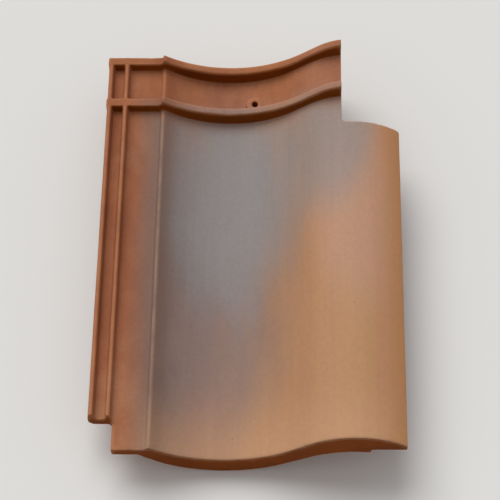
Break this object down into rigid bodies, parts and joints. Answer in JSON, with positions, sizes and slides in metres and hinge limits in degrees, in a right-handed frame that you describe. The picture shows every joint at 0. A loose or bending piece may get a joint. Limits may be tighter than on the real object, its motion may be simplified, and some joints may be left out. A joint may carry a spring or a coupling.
{
  "type": "clay roof tile",
  "caption": "Clay interlocking roof tile with an S-shaped face, side underlap, cover flange, head ribs, thick nose and hanging nibs, in a flamed sand, brown and grey-blue finish.",
  "frame": {"origin": "on the floor, in the middle of the tile's bounding box", "axes": "+X across the tile to the cover flange, +Y from the nose up to the head, +Z out of the face"},
  "size_m": [0.251, 0.37, 0.0768],
  "materials": {
    "fired_clay": "matt engobe"
  },
  "bodies": {
    "root": {"roof_tile": "fired_clay"}
  },
  "joints": []
}
